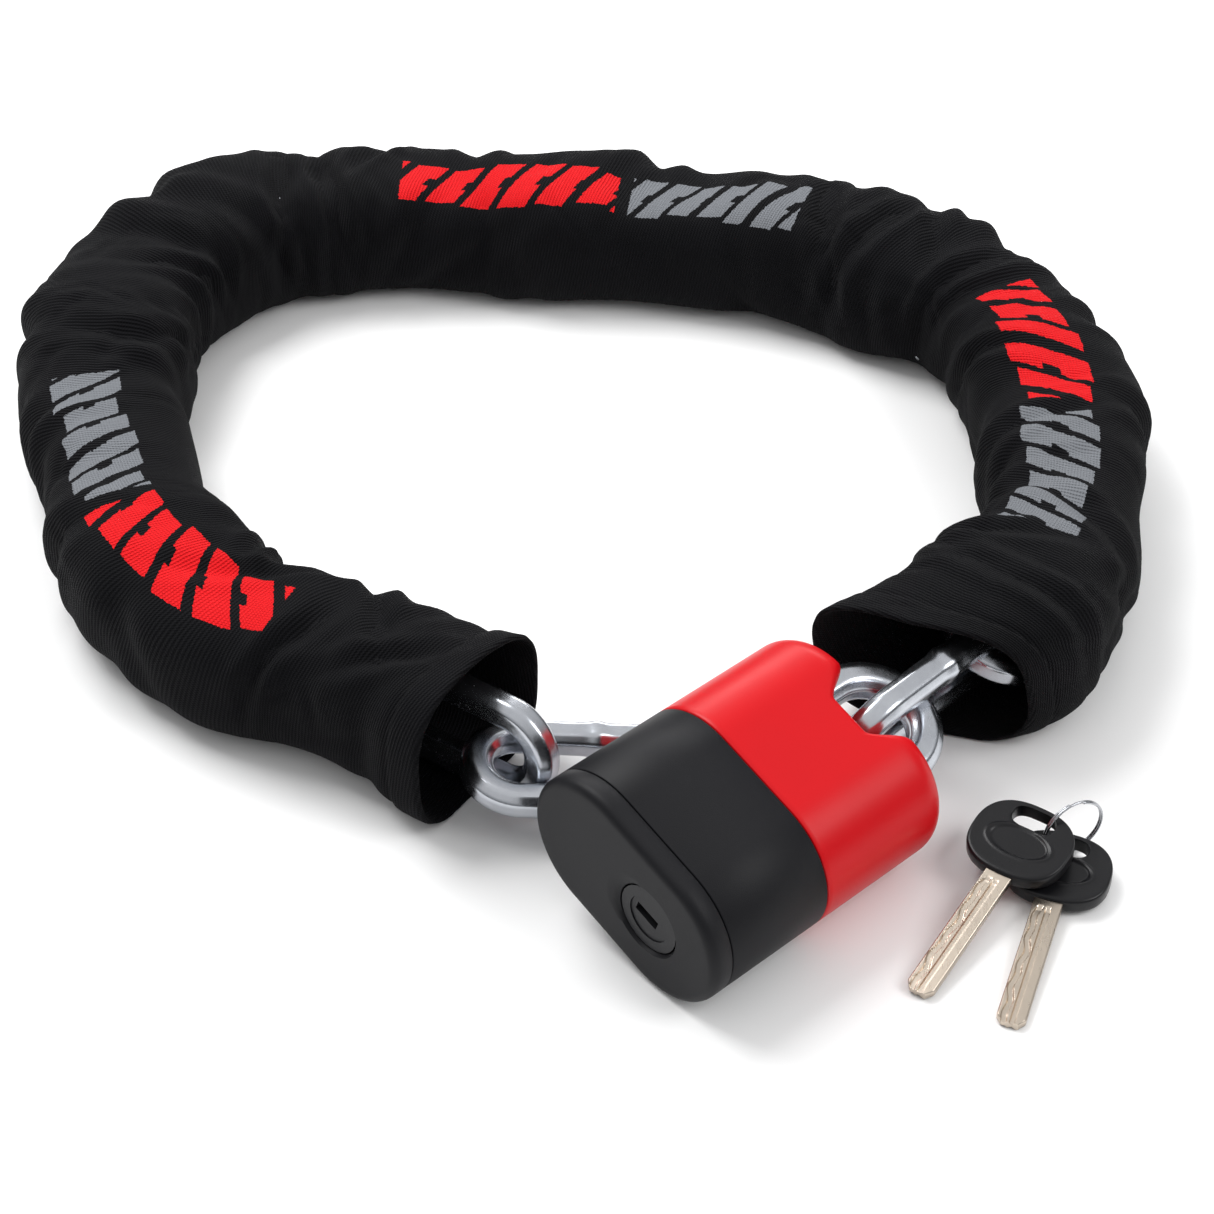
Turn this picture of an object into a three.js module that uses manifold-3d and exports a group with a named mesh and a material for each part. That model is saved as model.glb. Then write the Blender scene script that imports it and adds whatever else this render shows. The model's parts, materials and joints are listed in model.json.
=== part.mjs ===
// Chain lock: a long-link security chain in a woven sleeve, closed by a shrouded padlock,
// with its two keys on a split ring. Millimetres, +Z up, the floor at Z = 0.
import * as THREE from "three";
import { mergeVertices } from "three/addons/utils/BufferGeometryUtils.js";
import Module from "manifold-3d";

const wasm = await Module();
wasm.setup();

// ---- chain ----
const BAR = 10; // across the flats of the chamfered-square bar
const LINK_INNER = 66; // inside length of a link
const LINK_WIDTH = 36; // outside width of a link
const HIDDEN = 13; // links inside the sleeve
// ---- sleeve ----
const SLEEVE_WIDTH = 57;
const SLEEVE_HEIGHT = 47;
const SLEEVE_WALL = 1.3;
const CORNER_SHARE = 0.345; // where a flat link pushes the sleeve out at the back left
const MOUTH_SQUEEZE = 0.14; // the left mouth is drawn in on the side towards the inside of the loop
const MOUTH_SKEW = 0.45; // the right mouth is cut on the slant
const SLEEVE_SPLIT = 15; // gap left between the two halves, at the back of the loop
// ---- padlock ----
const LOCK_WIDTH = 77;
const LOCK_THICK = 48;
const CAP_END = 7.2;
const BLACK_END = 44.8;
const HOOD_END = 97;
const NOTCH_FLOOR = 84;
const SKIN = 2;
const GAP = 0.3;
const LEG = 17; // from the middle of the lock to the middle of a shackle leg
const ARCH_Y = 102; // where the legs end and the half circle of the shackle begins
const PLUG_X = 10.6; // the plug stands off the middle of the lock
const PLUG_R = 7.5;
const LOCK_AT = [4.1, -160.6, 28.75];
const LOCK_TURN = THREE.MathUtils.degToRad(42.5 - 90);
const LOCK_ROLL = THREE.MathUtils.degToRad(19);

const rad = THREE.MathUtils.degToRad;
const group = new THREE.Group();

const steel = new THREE.MeshStandardMaterial({ color: 0xc4c8cc, metalness: 1, roughness: 0.25 });
const brass = new THREE.MeshStandardMaterial({ color: 0xc9a85a, metalness: 1, roughness: 0.35 });
const nickel = new THREE.MeshStandardMaterial({ color: 0xb6a898, metalness: 1, roughness: 0.35 });
const red = new THREE.MeshStandardMaterial({ color: 0xd8141c, roughness: 0.35 });
const black = new THREE.MeshStandardMaterial({ color: 0x2a2a2e, roughness: 0.5 });
const fabric = new THREE.MeshStandardMaterial({ color: 0x1b1b1d, roughness: 0.95 });

// ---- making solids ----

// A geometry as a manifold solid, its vertices welded.
function solid(geometry) {
  const g = geometry.clone();
  g.deleteAttribute("normal");
  g.deleteAttribute("uv");
  const merged = mergeVertices(g, 1e-3);
  return new wasm.Manifold(
    new wasm.Mesh({
      numProp: 3,
      vertProperties: new Float32Array(merged.attributes.position.array),
      triVerts: new Uint32Array(merged.index.array),
    }),
  );
}

// A manifold solid as a geometry.
function shape3(body) {
  const m = body.getMesh();
  const g = new THREE.BufferGeometry();
  g.setAttribute("position", new THREE.BufferAttribute(new Float32Array(m.vertProperties), 3));
  g.setIndex(new THREE.BufferAttribute(new Uint32Array(m.triVerts), 1));
  g.computeVertexNormals();
  return g;
}

// First solid less all the others.
function cut(body, ...tools) {
  return tools.reduce((left, tool) => left.subtract(tool), body);
}

function mesh(name, body, material, parent) {
  const geometry = body.isBufferGeometry ? body : shape3(body);
  const m = new THREE.Mesh(geometry, material);
  m.name = name;
  parent.add(m);
  return m;
}

// A flat outline in (x, z) drawn out along Y from y0 to y1.
function prism(outline, y0, y1) {
  const s = new THREE.Shape(outline.map(([x, z]) => new THREE.Vector2(x, -z)));
  const g = new THREE.ExtrudeGeometry(s, { depth: y1 - y0, bevelEnabled: false });
  g.rotateX(-Math.PI / 2);
  g.translate(0, y0, 0);
  return solid(g);
}

// A flat outline in (x, y) drawn out along Z from z0 to z1.
function plate(outline, z0, z1) {
  const s = new THREE.Shape(outline.map(([x, y]) => new THREE.Vector2(x, y)));
  const g = new THREE.ExtrudeGeometry(s, { depth: z1 - z0, bevelEnabled: false });
  g.translate(0, 0, z0);
  return solid(g);
}

function circle(cx, cz, r, sides) {
  return Array.from({ length: sides }, (_, i) => {
    const a = (2 * Math.PI * (i + 0.5)) / sides;
    return [cx + r * Math.cos(a), cz + r * Math.sin(a)];
  });
}

function box(x0, x1, y0, y1, z0, z1) {
  return prism([[x0, z0], [x1, z0], [x1, z1], [x0, z1]], y0, y1);
}

// The rounded-end outline of the lock body.
function stadium(width, thick, steps = 9) {
  const r = thick / 2;
  const h = width / 2 - r;
  const right = [];
  const left = [];
  for (let i = 0; i <= steps; i += 1) {
    const a = -Math.PI / 2 + (Math.PI * i) / steps;
    right.push([h + r * Math.cos(a), r * Math.sin(a)]);
    left.push([-h - r * Math.cos(a), -r * Math.sin(a)]);
  }
  return [...right, ...left];
}

// Rings of points joined into one closed skin, with a flat lid on each end.
function loft(rings) {
  const n = rings[0].length;
  const points = rings.flat();
  const tris = [];
  for (let r = 0; r + 1 < rings.length; r += 1) {
    for (let i = 0; i < n; i += 1) {
      const a = r * n + i;
      const b = r * n + ((i + 1) % n);
      tris.push(a, b, b + n, a, b + n, a + n);
    }
  }
  for (let i = 1; i + 1 < n; i += 1) {
    const last = (rings.length - 1) * n;
    tris.push(0, i + 1, i, last, last + i, last + i + 1);
  }
  const g = new THREE.BufferGeometry();
  g.setAttribute("position", new THREE.Float32BufferAttribute(points.flat(), 3));
  g.setIndex(tris);
  const made = solid(g);
  if (made.volume() > 0) return made;
  const turned = [];
  for (let i = 0; i < tris.length; i += 3) turned.push(tris[i], tris[i + 2], tris[i + 1]);
  g.setIndex(turned);
  return solid(g);
}

// Rings of points joined round into one closed hoop.
function hoop(rings) {
  const n = rings[0].length;
  const count = rings.length;
  const tris = [];
  for (let r = 0; r < count; r += 1) {
    for (let i = 0; i < n; i += 1) {
      const [a, b] = [r * n + i, r * n + ((i + 1) % n)];
      const [c, d] = [((r + 1) % count) * n + i, ((r + 1) % count) * n + ((i + 1) % n)];
      tris.push(a, d, b, a, c, d);
    }
  }
  const g = new THREE.BufferGeometry();
  g.setAttribute("position", new THREE.Float32BufferAttribute(rings.flat(2), 3));
  g.setIndex(tris);
  const made = solid(g);
  if (made.volume() > 0) return made;
  for (let i = 0; i < tris.length; i += 3) [tris[i + 1], tris[i + 2]] = [tris[i + 2], tris[i + 1]];
  g.setIndex(tris);
  return solid(g);
}

// A stadium prism whose far edge (towards y1) is rounded by a fillet.
function filleted(width, thick, y0, y1, fillet) {
  const ring = (inset, y) =>
    stadium(width - 2 * inset, thick - 2 * inset).map(([x, z]) => [x, y, z]);
  const rings = [ring(0, y0)];
  const side = Math.sign(y1 - y0);
  for (let i = 0; i <= 4; i += 1) {
    const a = (Math.PI / 2) * (i / 4);
    rings.push(ring(fillet * (1 - Math.cos(a)), y1 - side * fillet * (1 - Math.sin(a))));
  }
  return loft(rings);
}

// The chamfered-square section of the chain bar and the shackle.
function barSection(size) {
  const h = size / 2;
  const c = h - size * 0.26;
  const p = [[h, -c], [h, c], [c, h], [-c, h], [-h, c], [-h, -c], [-c, -h], [c, -h]];
  return new THREE.Shape(p.map(([x, y]) => new THREE.Vector2(x, y)));
}

// ---- chain links ----

// One closed link in its own XY plane, its length along Y: two straight sides and two
// half circles, with the bar's section carried round them.
function link() {
  const r = (LINK_WIDTH - BAR) / 2;
  const straight = LINK_INNER / 2 + BAR / 2 - r;
  const section = barSection(BAR).getPoints().slice(0, 8);
  const rings = [];
  for (const end of [1, -1]) {
    for (let i = 0; i <= 10; i += 1) {
      const a = (Math.PI * i) / 10;
      const out = [end * Math.cos(a), end * Math.sin(a)];
      rings.push(section.map((p) => [
        out[0] * (r + p.x), end * straight + out[1] * (r + p.x), p.y,
      ]));
    }
  }
  return hoop(rings);
}

const oneLink = shape3(link());

// A link placed by its middle, the heading and dip of its length, and the roll about it.
function placeLink(name, at, heading, dip, roll, parent = group) {
  const m = mesh(name, oneLink.clone(), steel, parent);
  m.position.set(...at);
  m.rotation.order = "ZXY";
  m.rotation.set(dip, roll, heading - Math.PI / 2);
  return m;
}

// The two open ends: the link in the left mouth, the loose last link that lies under
// the lock, and the right end link that the shackle passes through.
const LEFT_LINK = { at: [-51.5, -76.2, 20.5], heading: rad(-33), dip: rad(-2.5), roll: rad(84) };
const LAST_LINK = { at: [-2.2, -92.3, 11.45], heading: rad(6), dip: rad(-8.5), roll: rad(5) };
const RIGHT_LINK = { at: [97.9, -73.4, 27.8], heading: rad(47), dip: rad(-1.5), roll: rad(110) };

function endOf(link, distance) {
  return new THREE.Vector3(
    link.at[0] + distance * Math.cos(link.heading) * Math.cos(link.dip),
    link.at[1] + distance * Math.sin(link.heading) * Math.cos(link.dip),
    link.at[2] + distance * Math.sin(link.dip),
  );
}

// Middle line of the loop on the floor, from the left mouth round the back to the right mouth.
const SLEEVE_LINE = [
  [-38, -87], [-60, -72], [-91, -55], [-123, -39], [-149, -6], [-169, 50], [-179, 106],
  [-171, 155], [-148, 186], [-112, 202], [-58, 203], [-8, 199], [37, 192], [74, 182],
  [108, 163], [137, 136], [153, 98], [155, 46], [146, -4], [124, -41], [90, -72],
];
const line = new THREE.CatmullRomCurve3(
  SLEEVE_LINE.map(([x, y]) => new THREE.Vector3(x, y, 0)), false, "centripetal");

// Contact points of the hidden links, evenly along the loop between the two end links.
const CHAIN_HEIGHT = 23;
const REACH = LINK_INNER / 2 + BAR / 2; // from a link's middle to the middle of its end bar
const LEFT_PIVOT = endOf(LEFT_LINK, -REACH);
const RIGHT_PIVOT = endOf(RIGHT_LINK, REACH);

// The chain cuts the corners of the sleeve a little.
const CHAIN_LINE = [
  [-124, -36], [-150, -2], [-167, 46], [-174, 100], [-164, 148], [-138, 184], [-94, 201],
  [-43, 204], [6, 198], [53, 186], [97, 165], [130, 135], [149, 92], [153, 44], [144, -4],
];
const run = new THREE.CatmullRomCurve3(
  [
    LEFT_PIVOT,
    ...CHAIN_LINE.map(([x, y]) => new THREE.Vector3(x, y, CHAIN_HEIGHT)),
    RIGHT_PIVOT,
  ], false, "centripetal");

// Steps along the run: an upright link spans its full reach, and a flat one a shorter step,
// because the end bars of its neighbours lie in the round of its ends.
function stepsAlong(samples, flatStep) {
  const found = [samples[0]];
  let i = 0;
  for (let k = 0; k < HIDDEN; k += 1) {
    const want = k % 2 === 0 ? flatStep : 2 * REACH;
    const from = found[k];
    while (i < samples.length - 1 && samples[i].distanceTo(from) < want) i += 1;
    found.push(samples[i]);
  }
  return { found, spare: samples.length - 1 - i };
}

const samples = run.getSpacedPoints(8000);
let flatStep = 40;
while (stepsAlong(samples, flatStep + 0.1).spare > 0) flatStep += 0.1;
const pivots = stepsAlong(samples, flatStep).found;

// Rolls alternate by about a quarter turn, spread so both end links keep their own.
const ROLL_GAIN = Math.PI - RIGHT_LINK.roll - LEFT_LINK.roll;
const HALF_TURNS = Math.round(((HIDDEN + 1) / 2) - ROLL_GAIN / Math.PI);
const ROLL_STEP = (HALF_TURNS * Math.PI + ROLL_GAIN) / (HIDDEN + 1);

placeLink("link_01", LAST_LINK.at, LAST_LINK.heading, LAST_LINK.dip, LAST_LINK.roll);
placeLink("link_02", LEFT_LINK.at, LEFT_LINK.heading, LEFT_LINK.dip, LEFT_LINK.roll);
for (let k = 0; k < HIDDEN; k += 1) {
  const d = pivots[k + 1].clone().sub(pivots[k]);
  const mid = pivots[k + 1].clone().add(pivots[k]).multiplyScalar(0.5);
  const name = "link_" + String(k + 3).padStart(2, "0");
  const dip = Math.atan2(d.z, Math.hypot(d.x, d.y));
  placeLink(name, mid.toArray(), Math.atan2(d.y, d.x), dip, LEFT_LINK.roll + ROLL_STEP * (k + 1));
}
placeLink("link_" + String(HIDDEN + 3).padStart(2, "0"), RIGHT_LINK.at, RIGHT_LINK.heading,
  RIGHT_LINK.dip, RIGHT_LINK.roll);

// The loop opens about the contact nearest the back.
const SPLIT_INDEX = 7;
const SPLIT = pivots[SPLIT_INDEX];

// ---- sleeve ----

// Twelve-sided section, flat underneath, at one place along the middle line. Squeeze draws
// in its side towards the inside of the loop, and skew leans it along the line.
function sleeveRing(at, along, { flare, height, squeeze, skew }, wall) {
  const side = new THREE.Vector3(along.y, -along.x, 0).normalize();
  const a = (SLEEVE_WIDTH / 2) * flare - wall;
  const lift = height / 2;
  const full = (v) => Math.sign(v) * Math.abs(v) ** 0.66; // fuller in the corners than an oval
  const b = (lift - wall) / full(Math.cos(rad(15)));
  return Array.from({ length: 12 }, (_, i) => {
    const t = rad(15 + 30 * i);
    const plain = a * full(Math.sin(t));
    const out = plain > 0 ? plain * squeeze : plain;
    const on = skew * out;
    return [
      at.x + side.x * out + along.x * on, at.y + side.y * out + along.y * on,
      lift - b * full(Math.cos(t)),
    ];
  });
}

// One half of the sleeve, between two shares of the middle line.
function sleeveHalf(from, to) {
  const rings = { outer: [], inner: [] };
  for (let i = 0; i <= 22; i += 1) {
    const u = from + ((to - from) * i) / 22;
    const along = line.getTangentAt(u);
    const bulge = 0.18 * Math.exp(-(((u - CORNER_SHARE) / 0.05) ** 2));
    const size = {
      flare: 1 + bulge + 0.05 * Math.max(0, 1 - (1 - u) / 0.06),
      height: SLEEVE_HEIGHT + 8 * Math.max(0, 1 - (1 - u) / 0.12) + 2 * Math.max(0, 1 - u / 0.1),
      squeeze: 1 - MOUTH_SQUEEZE * Math.max(0, 1 - u / 0.07),
      skew: MOUTH_SKEW * Math.max(0, 1 - (1 - u) / 0.1),
    };
    rings.outer.push(sleeveRing(line.getPointAt(u), along, size, 0));
    const ends = (i === 0 ? -1 : 0) + (i === 22 ? 1 : 0);
    const at = line.getPointAt(u).add(along.clone().multiplyScalar(ends));
    rings.inner.push(sleeveRing(at, along, size, SLEEVE_WALL));
  }
  return cut(loft(rings.outer), loft(rings.inner));
}

function splitShare() {
  let best = 0;
  for (let u = 0; u <= 1; u += 0.001) {
    const near = line.getPointAt(u).setZ(SPLIT.z).distanceTo(SPLIT);
    if (near < line.getPointAt(best).setZ(SPLIT.z).distanceTo(SPLIT)) best = u;
  }
  return best;
}

const SHARE = splitShare();
const HALF_GAP = SLEEVE_SPLIT / 2 / line.getLength();
mesh("sleeve_left", sleeveHalf(0, SHARE - HALF_GAP), fabric, group);
mesh("sleeve_right", sleeveHalf(SHARE + HALF_GAP, 1), fabric, group);

// ---- padlock: X across, Y from the key end to the shackle, Z out of the front ----

const lock = new THREE.Group();
lock.position.set(...LOCK_AT);
lock.rotation.order = "ZYX";
lock.rotation.set(0, LOCK_ROLL, LOCK_TURN);
group.add(lock);

// End cap, with the key hole and two blind holes for its screws.
function endCap() {
  const body = filleted(LOCK_WIDTH, LOCK_THICK, CAP_END, 0, 3);
  const hole = prism(circle(PLUG_X, 0, 11.4, 28), -1, CAP_END + 1);
  const screws = [-9, 9].map((z) => prism(circle(-28, z, 2.3, 12), 3, CAP_END + 1));
  return cut(body, hole, ...screws);
}

function blackCover() {
  const inside = prism(stadium(LOCK_WIDTH - 2 * SKIN, LOCK_THICK - 2 * SKIN), 0, 60);
  return cut(prism(stadium(LOCK_WIDTH, LOCK_THICK), CAP_END + GAP, BLACK_END), inside);
}

// The hood: rounded top, a notch right through it for a chain link, holes for the legs.
function redHood() {
  const body = filleted(LOCK_WIDTH, LOCK_THICK, BLACK_END + GAP, HOOD_END, 9);
  const inside = prism(stadium(LOCK_WIDTH - 2 * SKIN, LOCK_THICK - 2 * SKIN), 0, 80.8);
  const notch = [];
  for (let i = 0; i <= 6; i += 1) {
    const a = -Math.PI / 2 - (Math.PI / 2) * (i / 6);
    notch.push([-7.5 + 6 * Math.cos(a), NOTCH_FLOOR + 6 + 6 * Math.sin(a)]);
  }
  notch.push([-16, HOOD_END + 1], [16, HOOD_END + 1]);
  for (let i = 0; i <= 6; i += 1) {
    const a = -(Math.PI / 2) * (i / 6);
    notch.push([7.5 + 6 * Math.cos(a), NOTCH_FLOOR + 6 + 6 * Math.sin(a)]);
  }
  const legs = [-LEG, LEG].map((x) => prism(circle(x, 0, 6.4, 16), 70, HOOD_END + 2));
  return cut(body, inside, plate(notch, -40, 40), ...legs);
}

// The core block: two leg bores, the room of the cylinder and the room of the bolts.
function lockCore() {
  const inset = 2 * SKIN + 2 * GAP;
  const body = prism(stadium(LOCK_WIDTH - inset, LOCK_THICK - inset), CAP_END + GAP, 80.4);
  const heel = prism(circle(-LEG, 0, 6.3, 16), 22, 90);
  const toe = prism(circle(LEG, 0, 6.3, 16), 58, 90);
  const barrel = prism(circle(PLUG_X, 0, 11.4, 28), 0, 42);
  const bible = box(PLUG_X - 4.8, PLUG_X + 4.8, 0, 42, 0, 19.9);
  const bolts = box(-16, 20.6, 41.9, 77.2, -7.2, 7.2);
  const screws = [-9, 9].map((z) => prism(circle(-28, z, 2.1, 12), 0, 20));
  return cut(body, heel, toe, barrel, bible, bolts, ...screws);
}

// The shackle: long heel leg on the left, short toe leg over the cylinder, locking notches.
function shackle() {
  const v = (x, y) => new THREE.Vector3(x, y, 0);
  const k = 0.5523 * LEG;
  const path = new THREE.CurvePath();
  path.add(new THREE.LineCurve3(v(-LEG, 24), v(-LEG, ARCH_Y)));
  path.add(new THREE.CubicBezierCurve3(
    v(-LEG, ARCH_Y), v(-LEG, ARCH_Y + k), v(-k, ARCH_Y + LEG), v(0, ARCH_Y + LEG)));
  path.add(new THREE.CubicBezierCurve3(
    v(0, ARCH_Y + LEG), v(k, ARCH_Y + LEG), v(LEG, ARCH_Y + k), v(LEG, ARCH_Y)));
  path.add(new THREE.LineCurve3(v(LEG, ARCH_Y), v(LEG, 60)));
  const bar = new THREE.ExtrudeGeometry(barSection(10.5), { steps: 44, extrudePath: path });
  const notches = [
    box(-LEG + 1.2, 0, 69.4, 76.6, -8, 8),
    box(-LEG + 1.2, 0, 51.4, 58.6, -8, 8),
    box(0, LEG - 1.2, 69.4, 76.6, -8, 8),
  ];
  return cut(solid(bar), ...notches);
}

const PIN_Y = [11, 16, 21, 26, 31];

// Cylinder housing: a round barrel and the block that holds the driver pins.
function cylinderHousing() {
  const round = prism(circle(PLUG_X, 0, 11, 28), 1, 41);
  const block = box(PLUG_X - 4.4, PLUG_X + 4.4, CAP_END + GAP, 41, 0, 19.5);
  const bore = prism(circle(PLUG_X, 0, PLUG_R + 0.06, 32), -1, 45);
  return cut(round.add(block), bore, ...PIN_Y.map((y) => pin(y, 0, 18.4, 1.8)));
}

// An upright pin, or the hole for one, in the cylinder's row.
function pin(y, z0, z1, r) {
  const g = new THREE.CylinderGeometry(r, r, z1 - z0, 12);
  g.rotateX(Math.PI / 2);
  g.translate(PLUG_X, y, (z0 + z1) / 2);
  return solid(g);
}

function keyPlug() {
  const body = prism(circle(PLUG_X, 0, PLUG_R, 32), 1.4, 41.5);
  const keyway = box(PLUG_X - 5.4, PLUG_X + 3.2, 0, 35, -1.7, 1.7);
  return cut(body, keyway, ...PIN_Y.map((y) => pin(y, 0, 9, 1.8)));
}

// Tail of the plug: a disc with two crank pins, one above and one below the axis.
function plugTail() {
  const disc = prism(circle(PLUG_X, 0, 6.2, 24), 41.8, 44.4);
  const pins = [-4, 4].map((z) => prism(circle(PLUG_X, z, 1.1, 12), 44, 48.4));
  return disc.add(pins[0]).add(pins[1]);
}

// A bolt plate: a slotted foot over one crank pin, an arm, and the nose that locks a leg.
function boltPlate(side) {
  const low = side > 0 ? -6.6 : 1.4;
  const high = side > 0 ? -1.4 : 6.6;
  const foot = box(2, PLUG_X + 5.2, 44.8, 50.6, low, high);
  const arm = side > 0 ? box(2, 7.2, 44.8, 76, low, high) : box(-4, 2.2, 44.8, 76, low, high);
  const nose = side > 0 ? box(2, 11.2, 70, 76, low, high) : box(-11.2, 2.2, 70, 76, low, high);
  const slot = box(PLUG_X - 2.2, PLUG_X + 2.2, 44, 49.2, low - 1, high + 1);
  return cut(foot.add(arm).add(nose), slot);
}

// A compression spring: a square wire wound round the pin's axis.
function spring(y, z0, z1) {
  const turns = 4;
  const points = Array.from({ length: turns * 8 + 1 }, (_, i) => {
    const a = (Math.PI * i) / 4;
    const z = z0 + 0.25 + ((z1 - z0 - 0.5) * i) / (turns * 8);
    return new THREE.Vector3(PLUG_X + 1.15 * Math.cos(a), y + 1.15 * Math.sin(a), z);
  });
  const wire = [[0.2, 0.2], [-0.2, 0.2], [-0.2, -0.2], [0.2, -0.2]];
  const section = new THREE.Shape(wire.map(([a, b]) => new THREE.Vector2(a, b)));
  return solid(new THREE.ExtrudeGeometry(section, {
    steps: turns * 8, extrudePath: new THREE.CatmullRomCurve3(points),
  }));
}

mesh("end_cap", endCap(), black, lock);
mesh("black_cover", blackCover(), black, lock);
mesh("red_hood", redHood(), red, lock);
mesh("lock_core", lockCore(), steel, lock);
mesh("shackle", shackle(), steel, lock);
mesh("cylinder_housing", cylinderHousing(), brass, lock);
mesh("key_plug", keyPlug(), brass, lock);
mesh("plug_tail", plugTail(), steel, lock);
mesh("toe_bolt", boltPlate(1), steel, lock);
mesh("heel_bolt", boltPlate(-1), steel, lock);
PIN_Y.forEach((y, i) => {
  mesh("key_pin_" + (i + 1), pin(y, 2.1, 7.2, 1.45), brass, lock);
  mesh("driver_pin_" + (i + 1), pin(y, 7.75, 12, 1.45), steel, lock);
  mesh("pin_spring_" + (i + 1), spring(y, 12.3, 18.1), steel, lock);
});
[-9, 9].forEach((z, i) => {
  mesh("cap_screw_" + (i + 1), prism(circle(-28, z, 1.75, 12), 3.4, 19), steel, lock);
});

// ---- keys and split ring ----

const BOW_WIDTH = 31;
const BOW_LENGTH = 27;
const BOW_THICK = 5;
const BLADE_WIDTH = 8.5;
const BLADE_THICK = 2.6;
const BLADE_LENGTH = 48;

// A key lies along -Y from its bow: the ring slot is at the local origin.
function bowOutline() {
  return Array.from({ length: 28 }, (_, i) => {
    const a = (2 * Math.PI * i) / 28;
    const s = Math.abs(Math.sin(a)) ** 0.8 * Math.sign(Math.sin(a));
    const c = Math.abs(Math.cos(a)) ** 0.8 * Math.sign(Math.cos(a));
    return [(BOW_WIDTH / 2) * c, -8.5 + (BOW_LENGTH / 2) * s];
  });
}

function keyBow() {
  const body = plate(bowOutline(), 0, BOW_THICK);
  const slot = plate([[-6.4, -3.6], [6.4, -3.6], [7, 0], [6.4, 3.6], [-6.4, 3.6], [-7, 0]], -1, 9);
  const mid = BOW_THICK / 2;
  const tang = box(-BLADE_WIDTH / 2 - GAP, BLADE_WIDTH / 2 + GAP, -40, -12,
    mid - BLADE_THICK / 2 - GAP, mid + BLADE_THICK / 2 + GAP);
  const panel = plate(circle(0, -9.6, 1, 24).map(([x, y]) => [x * 9.5, -9.6 + (y + 9.6) * 5.2]),
    BOW_THICK - 0.5, 9);
  return cut(body, slot, tang, panel);
}

function keyBlade() {
  const h = BLADE_WIDTH / 2;
  const mid = BOW_THICK / 2;
  const end = -21.5 - BLADE_LENGTH;
  const outline = [[-h, -12.4], [-h, end + 2.5], [-h + 2.2, end], [h - 2.2, end], [h, end + 2.5], [h, -12.4]];
  const body = plate(outline, mid - BLADE_THICK / 2, mid + BLADE_THICK / 2);
  const groove = box(-0.9, 0.9, end - 1, -24, mid + BLADE_THICK / 2 - 0.7, 9);
  return cut(body, groove);
}

function placeKey(index, at, heading, dip, roll) {
  const key = new THREE.Group();
  key.position.set(...at);
  key.rotation.order = "ZXY";
  key.rotation.set(dip, roll, heading + Math.PI / 2);
  mesh("key_" + index + "_bow", keyBow(), black, key);
  mesh("key_" + index + "_blade", keyBlade(), nickel, key);
  group.add(key);
  return key;
}

// Key 2 lies on the floor and key 1 leans on its bow.
placeKey(1, [126.5, -117.5, 10.6], rad(-124.5), rad(9.3), 0);
placeKey(2, [136.4, -120.5, 2.6], rad(-110), rad(3), 0);

// The split ring, drawn as one round of double wire.
function splitRing() {
  const ring = new THREE.CatmullRomCurve3(
    Array.from({ length: 16 }, (_, i) => {
      const a = (Math.PI * i) / 8;
      return new THREE.Vector3(9.8 * Math.cos(a), 9.8 * Math.sin(a), 0);
    }), true);
  const half = [[-0.7, -0.4], [-0.4, -0.7], [0.4, -0.7], [0.7, -0.4],
    [0.7, 0.4], [0.4, 0.7], [-0.4, 0.7], [-0.7, 0.4]];
  const section = new THREE.Shape(half.map(([a, b]) => new THREE.Vector2(a, b)));
  return solid(new THREE.ExtrudeGeometry(section, { steps: 32, extrudePath: ring }));
}

const ring = mesh("key_ring", splitRing(), steel, group);
ring.position.set(139, -115.9, 10.65);
ring.rotation.order = "ZXY";
ring.rotation.set(rad(90), 0, rad(25));

// The origin is the middle of the part's footprint, on the floor.
const FOOTPRINT_MIDDLE = [-12.86, 22.44];
group.position.set(-FOOTPRINT_MIDDLE[0], -FOOTPRINT_MIDDLE[1], 0);
group.userData = { split: SPLIT.toArray(), splitIndex: SPLIT_INDEX, hidden: HIDDEN, flatStep };

export default group;
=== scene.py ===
# %% [markdown]
# # A chain lock in a woven sleeve
# A loop of heavy welded links runs inside a woven fabric sleeve. A red and black
# lock closes the loop at the front, and two keys on a split ring lie beside it.
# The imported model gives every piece's place and size. This lesson gives each piece
# its surface: soft folds on the cloth, faceted zinc bars, moulded shells, cut keys.

import json
import math

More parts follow.
